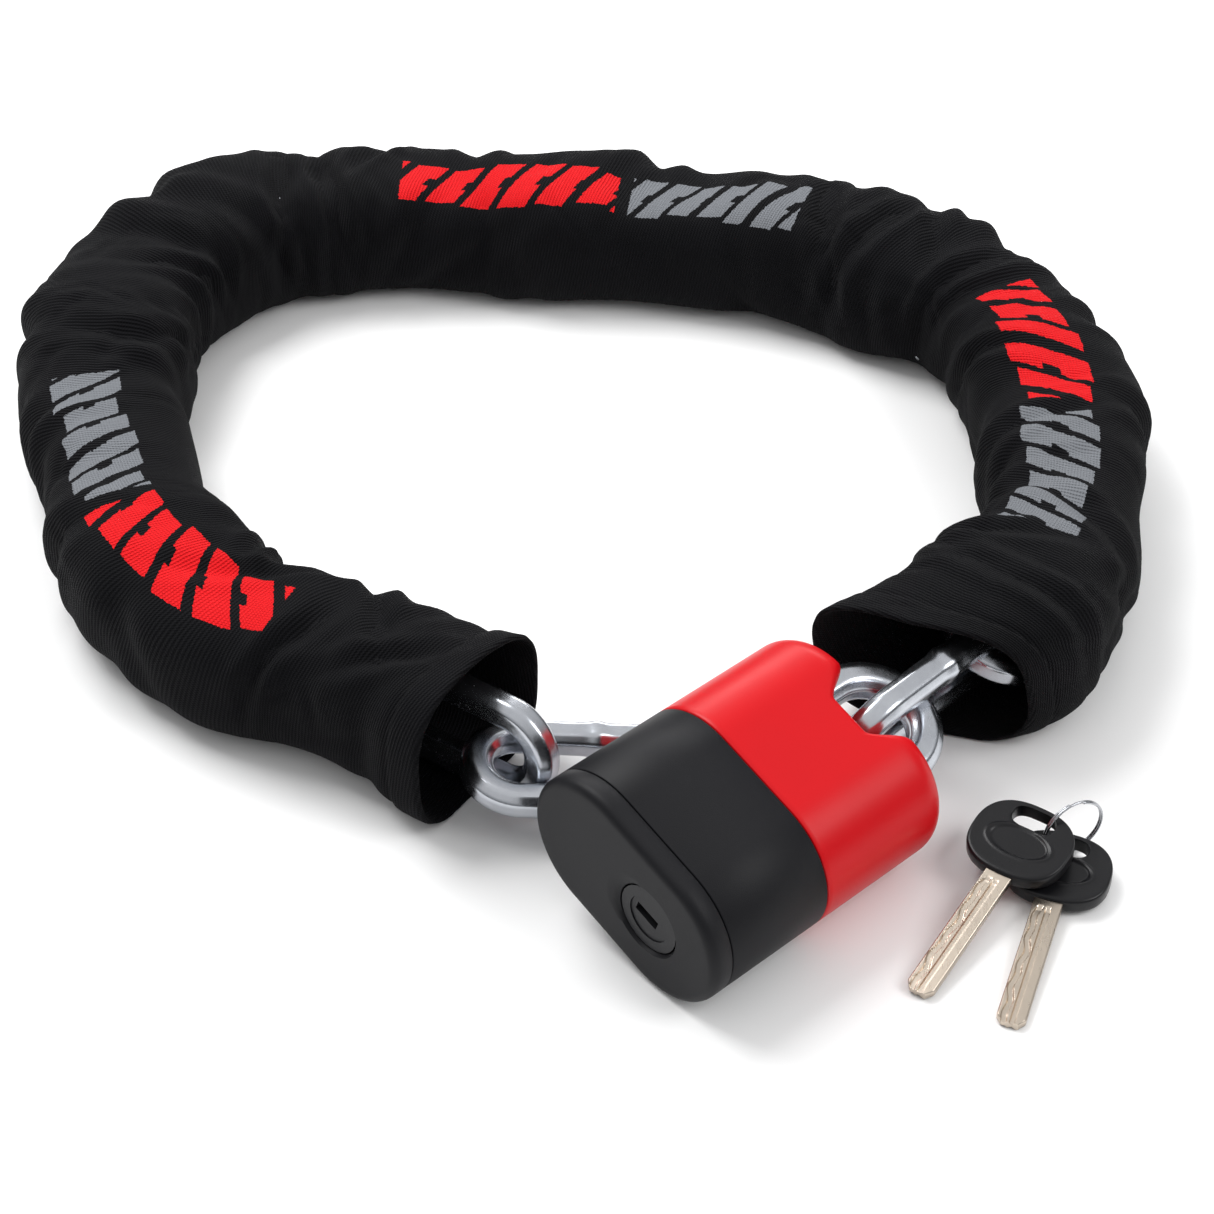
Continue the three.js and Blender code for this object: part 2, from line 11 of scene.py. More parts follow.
import bmesh
import bpy
import numpy as np
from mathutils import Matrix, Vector

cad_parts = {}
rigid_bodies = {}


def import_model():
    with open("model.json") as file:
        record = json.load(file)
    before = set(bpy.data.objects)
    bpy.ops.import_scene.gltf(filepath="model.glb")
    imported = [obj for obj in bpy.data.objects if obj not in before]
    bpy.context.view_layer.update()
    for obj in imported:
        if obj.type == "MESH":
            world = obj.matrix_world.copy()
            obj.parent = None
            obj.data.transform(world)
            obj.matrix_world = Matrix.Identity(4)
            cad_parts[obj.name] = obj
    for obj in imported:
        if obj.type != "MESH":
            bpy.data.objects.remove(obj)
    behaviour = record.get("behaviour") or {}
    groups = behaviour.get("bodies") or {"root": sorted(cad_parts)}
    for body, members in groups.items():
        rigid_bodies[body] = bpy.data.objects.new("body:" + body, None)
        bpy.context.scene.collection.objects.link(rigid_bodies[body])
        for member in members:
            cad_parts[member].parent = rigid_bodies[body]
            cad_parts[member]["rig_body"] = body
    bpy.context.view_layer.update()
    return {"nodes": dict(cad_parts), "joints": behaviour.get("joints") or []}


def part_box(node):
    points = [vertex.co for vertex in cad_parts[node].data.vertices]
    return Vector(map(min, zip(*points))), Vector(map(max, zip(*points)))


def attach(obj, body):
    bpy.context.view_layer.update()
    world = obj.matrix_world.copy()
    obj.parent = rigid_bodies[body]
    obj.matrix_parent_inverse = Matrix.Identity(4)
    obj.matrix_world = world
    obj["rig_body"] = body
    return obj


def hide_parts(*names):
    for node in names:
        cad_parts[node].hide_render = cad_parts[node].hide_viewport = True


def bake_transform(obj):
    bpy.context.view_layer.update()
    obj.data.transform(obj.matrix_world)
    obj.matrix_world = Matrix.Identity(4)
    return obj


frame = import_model()
MM = 0.001
joints = {j["name"]: j for j in frame["joints"]}
print("pieces in the frame:", len(frame["nodes"]))

# %% [markdown]
# ## Camera, floor and light
# The lock lies on a pale table under soft studio light. One large softbox stands
# over the back left, a weaker one fills from the right, and the pale world lights
# the rest, so that shadows stay soft and short. The world is a pale tent, bright
# overhead and dim at the horizon, which gives the metal something dark to mirror.

# %% Camera
CAMERA_AT = (0.01286, -0.72244, 0.5866)
CAMERA_TILT = math.radians(50)
LENS_MM = 81.28

camera_data = bpy.data.cameras.new("camera")
camera_data.lens = LENS_MM
camera_data.sensor_width = 36
camera = bpy.data.objects.new("camera", camera_data)
camera.location = CAMERA_AT
camera.rotation_euler = (CAMERA_TILT, 0, 0)
bpy.context.scene.collection.objects.link(camera)
bpy.context.scene.camera = camera
bpy.context.scene.view_settings.view_transform = "Standard"
print("camera lens", LENS_MM, "mm")

# %% [markdown]
# ## Writing materials as sums
# A finish is a small calculation over the surface. The class below wraps a node's
# socket, so that `a * b + 1` adds the Math nodes, and `node` adds any other node
# from its type, its settings and the values of its sockets.


# %% Shader maths
class Value:
    """A socket that can be added, scaled and compared; each sign adds one Math node."""

    def __init__(self, paint, socket):
        self.paint, self.socket = paint, socket

    def _math(self, operation, *others):
        values = {i: v for i, v in enumerate(others)}
        return self.paint.node("ShaderNodeMath", {"operation": operation}, values)

    def __add__(self, o):
        return self._math("ADD", self, o)

    def __radd__(self, o):
        return self._math("ADD", o, self)

    def __sub__(self, o):
        return self._math("SUBTRACT", self, o)

    def __rsub__(self, o):
        return self._math("SUBTRACT", o, self)

    def __mul__(self, o):
        return self._math("MULTIPLY", self, o)

    def __rmul__(self, o):
        return self._math("MULTIPLY", o, self)

    def __truediv__(self, o):
        return self._math("DIVIDE", self, o)

    def __gt__(self, o):
        return self._math("GREATER_THAN", self, o)

    def __lt__(self, o):
        return self._math("LESS_THAN", self, o)

    def sin(self):
        return self._math("SINE", self)

    def fract(self):
        return self._math("FRACT", self)

    def abs(self):
        return self._math("ABSOLUTE", self)

    def clip(self):
        return self.paint.node("ShaderNodeClamp", {}, {0: self})


class Paint:
    """A material and its one shader, filled in by sums of Values."""

    def __init__(self, name, **constants):
        self.material = bpy.data.materials.new(name)
        self.material.use_nodes = True
        self.tree = self.material.node_tree
        self.shader = self.tree.nodes["Principled BSDF"]
        for socket, value in constants.items():
            self.shader.inputs[socket.replace("_", " ")].default_value = value

    def put(self, socket, value):
        if isinstance(value, Value):
            self.tree.links.new(value.socket, socket)
        else:
            socket.default_value = value

    def node(self, kind, settings, values, out=0):
        made = self.tree.nodes.new(kind)
        for key, value in settings.items():
            if key == "stops":
                ramp = made.color_ramp
                while len(ramp.elements) < len(value):
                    ramp.elements.new(0.5)
                for element, (place, colour) in zip(ramp.elements, value):
                    element.position, element.color = place, colour
            else:
                setattr(made, key, value)
        for key, value in values.items():
            self.put(made.inputs[key], value)
        return Value(self, made.outputs[out])

    def feed(self, **links):
        for socket, value in links.items():
            self.put(self.shader.inputs[socket.replace("_", " ")], value)
        return self.material

    def place(self):
        return self.node("ShaderNodeTexCoord", {}, {}, "Object")

    def uv(self):
        return self.node("ShaderNodeUVMap", {"uv_map": "cloth"}, {})

    def axis(self, vector, letter):
        return self.node("ShaderNodeSeparateXYZ", {}, {0: vector}, letter)

    def noise(self, vector, scale, detail=3.0, rough=0.5):
        values = {"Vector": vector, "Scale": scale, "Detail": detail, "Roughness": rough}
        return self.node("ShaderNodeTexNoise", {}, values)

    def mix(self, share, low, high):
        values = {"Factor": share, 6: low, 7: high}
        return self.node("ShaderNodeMix", {"data_type": "RGBA"}, values, 2)

    def bump(self, height, distance, strength=1.0):
        values = {"Strength": strength, "Distance": distance, "Height": height}
        return self.node("ShaderNodeBump", {}, values)


def srgb(r, g, b):
    """Screen colour, 0 to 255, as the linear light that a shader works in."""
    c = np.array([r, g, b]) / 255
    linear = np.where(c <= 0.04045, c / 12.92, ((c + 0.055) / 1.055) ** 2.4)
    return (*linear.tolist(), 1.0)


print("linear mid grey", [round(x, 3) for x in srgb(128, 128, 128)])

# %% [markdown]
# ## From a grid of points to a piece
# Every new piece is a rectangle of points, rows by columns, bent into its shape.
# Rows or columns that meet themselves close the surface. A row drawn together to a
# line or a point closes an end, once the points that coincide are merged.


# %% Grid to mesh
def piece(name, points, body, material, wrap_rows=False, uv=None, crease=None):
    """A named mesh through a rows x columns x 3 grid; its columns always wrap round."""
    rows, columns = points.shape[:2]
    r = np.arange(rows if wrap_rows else rows - 1)[:, None]
    c = np.arange(columns)[None, :]
    r2, c2 = (r + 1) % rows, (c + 1) % columns
    corners = np.stack(
        [r * columns + c, r * columns + c2, r2 * columns + c2, r2 * columns + c], -1
    )
    corners = corners.reshape(-1, 4)
    flat = points.reshape(-1, 3)
    p = flat[corners]
    volume = np.einsum("ij,ij->i", p[:, 0], np.cross(p[:, 1], p[:, 2])).sum()
    volume += np.einsum("ij,ij->i", p[:, 0], np.cross(p[:, 2], p[:, 3])).sum()
    turn = slice(None, None, -1) if volume < 0 else slice(None)
    mesh = bpy.data.meshes.new(name)
    mesh.from_pydata(flat.tolist(), [], corners[:, turn].tolist())
    if uv is not None:
        wide = np.stack(
            [uv[r, c], uv[r, c + 1], uv[r + 1, c + 1], uv[r + 1, c]], 2
        )
        layer = mesh.uv_layers.new(name="cloth")
        layer.data.foreach_set("uv", wide.reshape(-1, 4, 2)[:, turn].ravel())
    else:
        weld(mesh)
    mesh.polygons.foreach_set("use_smooth", np.ones(len(mesh.polygons), bool))
    if crease is not None:
        mesh.set_sharp_from_angle(angle=math.radians(crease))
    mesh.materials.append(material)
    made = bpy.data.objects.new(name, mesh)
    bpy.context.scene.collection.objects.link(made)
    if body:
        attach(made, body)
    return made


def weld(mesh):
    """Merges points that coincide, as at a pole or a closed end."""
    work = bmesh.new()
    work.from_mesh(mesh)
    bmesh.ops.remove_doubles(work, verts=work.verts, dist=2e-6)
    bmesh.ops.dissolve_degenerate(work, edges=work.edges, dist=1e-7)
    work.to_mesh(mesh)
    work.free()


def smoothstep(x, low, high):
    """0 below low, 1 above high, and a smooth S between them."""
    t = np.clip((x - low) / (high - low), 0, 1)
    return t * t * (3 - 2 * t)


def curve_through(points, count):
    """Evenly spaced places on a smooth line through the points (Catmull-Rom)."""
    p = np.array(points, float)
    p = np.vstack([2 * p[0] - p[1], p, 2 * p[-1] - p[-2]])
    t = np.linspace(0, len(points) - 1, 4000)
    i = np.minimum(t.astype(int), len(points) - 2)
    f = (t - i)[:, None]
    a, b, c, d = p[i], p[i + 1], p[i + 2], p[i + 3]
    line = 0.5 * (
        2 * b + (c - a) * f + (2 * a - 5 * b + 4 * c - d) * f**2
        + (3 * b - a - 3 * c + d) * f**3
    )
    run = np.r_[0, np.linalg.norm(np.diff(line, axis=0), axis=1).cumsum()]
    even = np.linspace(0, run[-1], count)
    return np.stack([np.interp(even, run, x) for x in line.T], -1), even


print("grid tools ready")

# %% Floor and light
floor_paint = Paint("table_white", Roughness=0.7, Specular_IOR_Level=0.1)
floor_paint.feed(
    Base_Color=floor_paint.mix(
        floor_paint.noise(floor_paint.place(), 3.0), (0.9, 0.9, 0.9, 1), (0.93, 0.93, 0.93, 1)
    )
)
floor_mesh = bpy.data.meshes.new("table")
FAR = 40  # metres to the table's edge, past the horizon of a low view
floor_mesh.from_pydata(
    [(-FAR, -FAR, 0), (FAR, -FAR, 0), (FAR, FAR, 0), (-FAR, FAR, 0)], [], [(0, 1, 2, 3)]
)
floor_mesh.materials.append(floor_paint.material)
floor = bpy.data.objects.new("table", floor_mesh)
bpy.context.scene.collection.objects.link(floor)

world = bpy.data.worlds.new("studio")
bpy.context.scene.world = world
world.use_nodes = True
sky = world.node_tree
background = sky.nodes["Background"]
heading = sky.nodes.new("ShaderNodeTexCoord")
parts = sky.nodes.new("ShaderNodeSeparateXYZ")
tent = sky.nodes.new("ShaderNodeValToRGB")
sky.links.new(heading.outputs["Generated"], parts.inputs[0])
sky.links.new(parts.outputs["Z"], tent.inputs[0])
sky.links.new(tent.outputs[0], background.inputs["Color"])
TENT = [(0.12, (0.1, 0.105, 0.115, 1)), (0.72, (1, 1, 1, 1))]  # upward share, colour
for stop, (height, colour) in zip(tent.color_ramp.elements, TENT):
    stop.position, stop.color = height, colour
background.inputs["Strength"].default_value = 0.8


def softbox(name, place, aim, size, watts):
    """A square soft light at place that faces aim."""
    data = bpy.data.lights.new(name, "AREA")
    data.shape = "RECTANGLE"
    data.size, data.size_y = size
    data.energy = watts
    lamp = bpy.data.objects.new(name, data)
    lamp.location = place
    away = Vector(place) - Vector(aim)
    lamp.rotation_euler = away.to_track_quat("Z", "Y").to_euler()
    bpy.context.scene.collection.objects.link(lamp)


softbox("key_light", (-0.7, 0.5, 1.3), (0, 0, 0), (0.9, 0.9), 20)
softbox("fill_light", (1.0, -0.4, 1.0), (0, 0, 0), (0.7, 0.7), 7)
softbox("rim_light", (0.1, 1.3, 0.7), (0, 0, 0.03), (1.2, 0.3), 7)

# %% [markdown]
# ## Finishes
# Zinc plate is bright and slightly cloudy, with fine marks from tumbling. The lock's
# shells are moulded with a fine grain. Key blades are milled from nickel brass.

# %% Metal finishes


def plated_metal(name, light, dark, rough, cloud=60.0, marks=0.00006):
    """Metal whose brightness and polish wander in soft clouds, with fine bruises."""
    paint = Paint(name, Metallic=1.0)
    place = paint.place()
    clouds = paint.noise(place, cloud, 4.0, 0.6)
    bruises = paint.noise(place, cloud * 7, 2.0, 0.5)
    stretched = paint.node(
        "ShaderNodeMapping", {}, {"Vector": place, "Scale": (900, 120, 900)}
    )
    lines = paint.noise(stretched, 1.0, 2.0, 0.6)
    height = clouds * 0.6 + bruises * 0.3 + lines * 0.12
    return paint.feed(
        Base_Color=paint.mix(clouds, light, dark),
        Roughness=clouds * (0.7 * rough) + lines * (0.5 * rough) + 0.3 * rough,
        Normal=paint.bump(height, marks),
    )


zinc = plated_metal("bright_zinc", srgb(214, 217, 222), srgb(164, 168, 176), 0.26)
blade_metal = plated_metal(
    "nickel_brass", srgb(204, 192, 178), srgb(188, 176, 161), 0.34, 40.0, 0.000012
)
brass = plated_metal("turned_brass", srgb(206, 172, 98), srgb(176, 142, 76), 0.3)
spring_steel = plated_metal("spring_steel", srgb(190, 192, 196), srgb(150, 152, 156), 0.3)
print("metals:", zinc.name, blade_metal.name, brass.name, spring_steel.name)

# %% Moulded finishes


def moulded(name, colour, tint, rough, grain, depth, coat=0.0):
    """Moulded plastic: one colour with a faint drift, a fine grain and soft wear."""
    paint = Paint(name, Coat_Weight=coat, Coat_Roughness=0.25, Specular_IOR_Level=0.2)
    place = paint.place()
    drift = paint.noise(place, 25.0, 3.0, 0.6)
    speckle = paint.noise(place, grain, 2.0, 0.7)
    return paint.feed(
        Base_Color=paint.mix(drift * 0.7 + speckle * 0.3, colour, tint),
        Roughness=drift * 0.1 + speckle * 0.12 + rough,
        Normal=paint.bump(speckle, depth),
    )


cover_black = moulded(
    "cover_black", srgb(15, 15, 18), srgb(21, 21, 25), 0.4, 2600.0, 0.00005
)
hood_red = moulded(
    "hood_red", srgb(205, 3, 17), srgb(188, 2, 12), 0.28, 1500.0, 0.00002, 0.06
)
bow_black = moulded(
    "bow_black", srgb(14, 14, 16), srgb(22, 22, 25), 0.2, 1800.0, 0.00004, 0.15
)
print("plastics:", cover_black.name, hood_red.name, bow_black.name)

# %% [markdown]
# ## The sleeve: a tube of woven webbing
# The sleeve is one long tube of ribbed black webbing, pulled over the chain. It is
# flat where it lies on the table, full at the sides, and it creases where the loop
# turns, because the inner side has cloth to spare. Its two mouths are hemmed. The
# surface is worked out as a section carried along the loop, with folds added along
# the section's own outward direction. A closed double wall gives the cloth its
# thickness, and the whole tube bends where the loop opens at the back.

# %% The sleeve's route and section
SLEEVE_WIDTH = 57 * MM
SLEEVE_HEIGHT = 47 * MM
CLOTH = 1.4 * MM
HEM = 13 * MM
FULLNESS = 0.66  # 1 is an oval, and less is fuller in the corners
ROUTE_MM = [
    (-25, -109.5), (-47, -94.5), (-78, -77.5), (-110, -61.5), (-136, -28.5),
    (-156, 27.5), (-166, 83.5), (-158, 132.5), (-135, 163.5), (-99, 179.5),
    (-45, 180.5), (5, 176.5), (50, 169.5), (87, 159.5), (121, 140.5),
    (150, 113.5), (166, 75.5), (168, 23.5), (159, -26.5), (137, -63.5), (103, -94.5),
]
AROUND, ALONG, ALONG_INSIDE = 124, 630, 104


def section(count):
    """Across and up, evenly round a superellipse that starts underneath."""
    t = np.linspace(0, 2 * np.pi, 4001)
    full = lambda v: np.sign(v) * np.abs(v) ** FULLNESS
    x, z = -full(np.sin(t)), -full(np.cos(t))
    run = np.r_[0, np.hypot(np.diff(x) * SLEEVE_WIDTH, np.diff(z) * SLEEVE_HEIGHT)]
    run = run.cumsum()
    even = np.arange(count) / count * run[-1]
    return np.interp(even, run, x), np.interp(even, run, z), run[-1] / 2


across, up, girth = section(AROUND)
ends = [(np.r_[x, 0] * MM).tolist() for x in np.array(ROUTE_MM, float)]
route, run_along = curve_through(ends, 1200)
length = run_along[-1]
print("sleeve:", round(length, 3), "m long,", round(girth, 3), "m round")

# %% Folds, written as formulas


def creases(s, v, rng, count, depth, wide, long, slant):
    """The sum of many small creases. Each is a narrow groove with a soft ridge on
    each side: -(1 - 0.55 q^2) exp(-q^2 / 2) across it, and a bell along it."""
    total = np.zeros_like(s)
    for _ in range(count):
        s0, v0 = rng.uniform(0, length), rng.uniform(0.18, 0.82) * girth
        lean = rng.normal(0, slant)
        size = rng.uniform(0.4, 1.0)
        ds, dv = s - s0, v - v0
        q = (ds * math.cos(lean) + dv * math.sin(lean)) / (wide * rng.uniform(0.7, 1.5))
        r = (-ds * math.sin(lean) + dv * math.cos(lean)) / (long * rng.uniform(0.6, 1.3))
        total -= depth * size * (1 - 0.55 * q**2) * np.exp(-(q**2) / 2 - r**2 / 2)
    return total


def kink(s, v, place, share, lean, depth, wide, long):
    """One sharp valley, -exp(-|q|), with a raised shoulder on each side, and a bell
    along it. Place is the distance along the tube, share the part of the way round."""
    ds, dv = s - place, v - share * girth
    q = np.abs(ds * math.cos(lean) + dv * math.sin(lean)) / wide
    r = (-ds * math.sin(lean) + dv * math.cos(lean)) / long
    shoulder = 0.6 * np.exp(-(((q - 1.9) / 0.9) ** 2))
    return depth * (shoulder - np.exp(-q)) * np.exp(-(r**2) / 2)


def fan(s, v, rng, place, spread, count, depth, share=0.7):
    """Folds that run out from one place on the inner side of a bend, like a fan."""
    total = np.zeros_like(s)
    for step in np.linspace(-1, 1, count):
        wobble = rng.uniform(0.75, 1.25, 3)
        total += kink(
            s, v, place + step * spread, share + rng.uniform(-0.05, 0.04), 0.5 * step,
            depth * wobble[0], 4.6 * MM * wobble[1], 17 * MM * wobble[2],
        )
    return total


# Distance along in metres, share of the way round, lean in radians, then the depth,
# the width and the length in millimetres.
KINKS = [
    (0.030, 0.44, 0.9, 2.6, 3.6, 16), (0.048, 0.60, -0.5, 3.0, 3.4, 18),
    (0.066, 0.36, 0.4, 2.6, 3.2, 15), (0.088, 0.55, 0.9, 2.2, 3.6, 20),
    (0.105, 0.68, -0.4, 2.6, 3.4, 16), (0.243, 0.55, 0.3, 2.4, 3.8, 20),
    (0.300, 0.62, -0.3, 2.8, 4.0, 20), (0.372, 0.52, 0.25, 4.2, 4.2, 26),
    (0.392, 0.58, -0.2, 4.4, 4.0, 26), (0.408, 0.42, 0.5, 2.6, 3.4, 16),
    (0.583, 0.50, -0.3, 3.6, 4.0, 24), (0.606, 0.56, 0.2, 4.2, 4.2, 26),
    (0.622, 0.44, -0.5, 2.6, 3.4, 16), (0.648, 0.55, 0.15, 4.0, 3.8, 26),
    (0.700, 0.66, 0.4, 2.6, 3.6, 18), (0.752, 0.60, -0.4, 2.6, 3.6, 20),
    (0.800, 0.44, 0.6, 2.6, 4.0, 20), (0.826, 0.62, -0.3, 3.0, 3.8, 20),
    (0.850, 0.42, 0.2, 2.4, 3.6, 16), (0.150, 0.26, 0.2, 3.4, 4.6, 20),
    (0.205, 0.30, -0.3, 3.2, 4.4, 18), (0.262, 0.27, 0.2, 3.6, 4.6, 20),
    (0.335, 0.28, 0.1, 3.8, 4.6, 20), (0.385, 0.27, -0.2, 4.4, 4.6, 22),
    (0.450, 0.30, 0.2, 3.0, 4.4, 18), (0.515, 0.29, -0.1, 2.8, 4.4, 18),
    (0.590, 0.28, 0.2, 4.4, 4.8, 22), (0.640, 0.27, -0.2, 4.2, 4.6, 22),
    (0.690, 0.28, 0.1, 3.4, 4.4, 18), (0.742, 0.27, 0.3, 3.2, 4.4, 18),
]


# Distance along and spread in metres, number of folds, depth in millimetres.
FANS = [(0.285, 0.035, 5, 1.7), (0.39, 0.034, 5, 1.8), (0.635, 0.038, 5, 1.8), (0.80, 0.03, 4, 1.8)]
LINK_REPEAT = 119.8 * MM  # two links, one upright and one flat
SAG_REPEAT = 71 * MM
MOST_IN, MOST_OUT = 7.5 * MM, 3.6 * MM


def folds(s, v):
    """How far the cloth stands out from its plain section, in metres: a slow wave for
    the links, then creases, hollows, kinks and fans, kept between two limits. All
    fade out underneath. The mouths get a hem with a stitched groove."""
    rng = np.random.default_rng(7)
    top = smoothstep(v / girth, 0.05, 0.16) * (1 - smoothstep(v / girth, 0.84, 0.95))
    links = 1.6 * MM * np.cos(2 * np.pi * s / LINK_REPEAT)
    links = links + 1.1 * MM * np.sin(2 * np.pi * s / SAG_REPEAT + 5 * v / girth)
    big = creases(s, v, rng, 60, 2.2 * MM, 6 * MM, 24 * MM, 0.45)
    fine = creases(s, v, rng, 210, 0.8 * MM, 2.3 * MM, 10 * MM, 0.7)
    hollow = creases(s, v, rng, 26, 3.2 * MM, 15 * MM, 26 * MM, 0.9)
    sharp = sum(kink(s, v, at, round_, lean, d * MM, w * MM, n * MM)
                for at, round_, lean, d, w, n in KINKS)
    for place, spread, count, depth in FANS:
        sharp = sharp + fan(s, v, rng, place, spread, count, depth * MM)
    end = np.minimum(s, length - s)
    hem = 0.9 * MM * (1 - smoothstep(end, HEM - 2 * MM, HEM))
    stitch = -0.7 * MM * np.exp(-(((end - HEM) / (1.1 * MM)) ** 2))
    near = smoothstep(end, 0, HEM * 1.6)
    loose = (big + fine + hollow + sharp) * (0.35 + 0.65 * near)
    loose = np.clip(loose, -MOST_IN, MOST_OUT)
    return top * (links + loose) + hem + stitch


# %% The sleeve's surface
FLAT_LINK_SHARE = 0.345  # where a flat link pushes the tube out at the back left
SLANT_INSIDE, SLANT_OUTSIDE = 0.45, 0.65
CUT_UNDERNEATH = 14 * MM


def sleeve_points(s, inset):
    """The wall at distances s along the route, drawn in by inset. The place is the
    route + half width * across + (1 + up) * half height, pushed out by the folds.
    Towards the right mouth the tube flares and rises, and its end leans: each point
    moves along the route by its distance from the middle line, and back underneath."""
    share = s / length
    centre = np.stack([np.interp(s, run_along, x) for x in route.T], -1)
    ahead = np.gradient(route, axis=0)
    ahead /= np.linalg.norm(ahead, axis=1)[:, None]
    along = np.stack([np.interp(s, run_along, x) for x in ahead.T], -1)
    along /= np.linalg.norm(along, axis=1)[:, None]
    side = np.stack([along[:, 1], -along[:, 0], 0 * s], -1)
    bulge = 0.17 * np.exp(-(((share - FLAT_LINK_SHARE) / 0.05) ** 2))
    near_right = np.clip(1 - (1 - share) / 0.1, 0, 1)
    wide = SLEEVE_WIDTH / 2 * (1 + bulge + 0.1 * near_right)
    high = SLEEVE_HEIGHT + 8 * MM * np.clip(1 - (1 - share) / 0.12, 0, 1)
    high = high / 2 + 1 * MM * np.clip(1 - share / 0.07, 0, 1)
    out_x, out_z = -np.gradient(up), np.gradient(across)
    size = np.hypot(out_x, out_z)
    out_x, out_z = out_x / size, out_z / size
    v = np.arange(AROUND) / AROUND * girth
    stand = folds(s[:, None] + 0 * v, v + 0 * s[:, None]) - inset[:, None]
    x = wide[:, None] * across + stand * out_x
    z = high[:, None] * (1 + up) + stand * out_z
    z = np.maximum(z, (0.2 * MM + np.minimum(inset, 1.2 * MM))[:, None])
    slant = np.where(x > 0, SLANT_INSIDE, SLANT_OUTSIDE) * x
    slant = slant - CUT_UNDERNEATH * (1 - z / (2 * high[:, None]))
    points = centre[:, None, :] + side[:, None, :] * x[..., None]
    points = points + along[:, None, :] * (near_right[:, None] * slant)[..., None]
    points[..., 2] = z
    return points


s_out = np.linspace(0, length, ALONG)
s_in = np.linspace(length - 0.6 * MM, 0.6 * MM, ALONG_INSIDE)
s_all = np.r_[s_out, s_in]
thick = CLOTH + 0.3 * MM * (1 - smoothstep(np.minimum(s_in, length - s_in), HEM - 3 * MM, HEM))
inset = np.r_[0 * s_out, thick]
inset[[0, ALONG - 1]] = 0.8 * MM
wall = sleeve_points(s_all, inset)
u_all = np.r_[s_all, s_all[:1]]
v_all = np.linspace(0, girth, AROUND + 1)
sleeve_uv = np.stack(np.broadcast_arrays(u_all[:, None], v_all[None, :]), -1)
print("sleeve grid:", wall.shape[:2])

# %% [markdown]
# ## Woven cloth with printed bars
# The webbing has a fine weft rib that runs round the tube, crossed by thinner warp
# threads. Both are waves over the cloth's own coordinates: metres along and round
# the tube. The prints are plain slanted bars, red for one part and grey for the
# other, with edges that follow the threads.

# %% Cloth material
RIB = 1.15 * MM
WARP = 1.0 * MM
PRINT_RED = srgb(222, 24, 30)
PRINT_GREY = srgb(122, 125, 130)
CLOTH_BLACK = srgb(5, 5, 6)
CLOTH_WORN = srgb(24, 24, 27)

cloth = Paint("woven_black", Specular_IOR_Level=0.05, Sheen_Weight=0.02, Sheen_Roughness=0.5)
along_uv = cloth.axis(cloth.uv(), "X")
round_uv = cloth.axis(cloth.uv(), "Y")
drift = cloth.noise(cloth.place(), 30.0, 3.0, 0.6)
wander = (cloth.noise(cloth.place(), 220.0, 2.0, 0.5) - 0.5) * (0.5 * MM)
tau = 2 * math.pi
rib = (((along_uv + wander) / RIB + round_uv / (RIB * 5)) * tau).sin()
warp = (((round_uv + wander) / WARP) * tau).sin()
weave = rib * 0.6 + rib * warp * 0.4
thread = weave * 0.5 + 0.5


def band(value, low, high):
    """1 where the value lies between low and high, and 0 elsewhere."""
    return (value > low) * (value < high)


def bars(start, end, middle, height, slant, pitch, duty):
    """Slanted bars in a strip of the cloth. Each bar's height follows a sine of its
    own number, and the edges are ragged where they cross the threads."""
    ragged = (cloth.noise(cloth.uv(), 900.0, 2.0, 0.6) - 0.5) * (1.6 * MM)
    place = along_uv + ragged
    lean = (place + (round_uv - middle) * slant) / pitch
    number = lean - lean.fract()
    tall = (number * 2.4).sin().abs() * 0.3 + 0.7
    off = (round_uv + ragged - middle).abs()
    inside = band(place, start, end) * (off < tall * (height / 2))
    waist = (off > tall * (height * 0.11)) * (number * 1.7).sin().abs()
    gap = lean.fract() < waist * 0.2 + (duty - 0.1)
    return inside * gap


PRINTS = [
    {"red": (0.07, 0.145), "grey": (0.15, 0.225), "middle": 0.47, "slant": -0.5},
    {"red": (0.42, 0.503), "grey": (0.508, 0.575), "middle": 0.55, "slant": 0.5},
    {"red": (0.665, 0.74), "grey": (0.745, 0.815), "middle": 0.52, "slant": 0.5},
]
PRINT_HEIGHT = 27 * MM
base = cloth.mix(drift * 0.4 + thread * 0.5, CLOTH_BLACK, CLOTH_WORN)
printed = 0.0
for mark in PRINTS:
    for ink, colour, pitch in (("red", PRINT_RED, 14.5 * MM), ("grey", PRINT_GREY, 11.5 * MM)):
        start, end = mark[ink]
        shape = bars(start, end, mark["middle"] * girth, PRINT_HEIGHT, mark["slant"], pitch, 0.72)
        base = cloth.mix(shape * (0.82 + thread * 0.18), base, colour)
        printed = shape + printed
cloth.feed(
    Base_Color=base,
    Roughness=0.86 - printed * 0.2 - thread * 0.06,
    Normal=cloth.bump(thread, 0.5 * MM, 1.0),
)
sleeve = piece("sleeve", wall, None, cloth.material, wrap_rows=True, uv=sleeve_uv)
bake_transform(sleeve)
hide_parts("sleeve_left", "sleeve_right")
print("sleeve points:", len(sleeve.data.vertices))

# %% [markdown]
# ## Links: a faceted bar bent round and welded
# Each link is a hard steel bar of chamfered square section, bent into a long loop,
# butt-welded in the middle of one side and plated with zinc. The section is a soft
# octagon: the distance to its edge is set by the nearest faces, and a high power
# rounds the corners between them. Each link lies along the axes of its CAD node.

# %% The bar's section and a link
BAR = 10 * MM
LINK_LENGTH = 86 * MM
LINK_WIDTH = 36 * MM
CORNER_POWER = 30.0


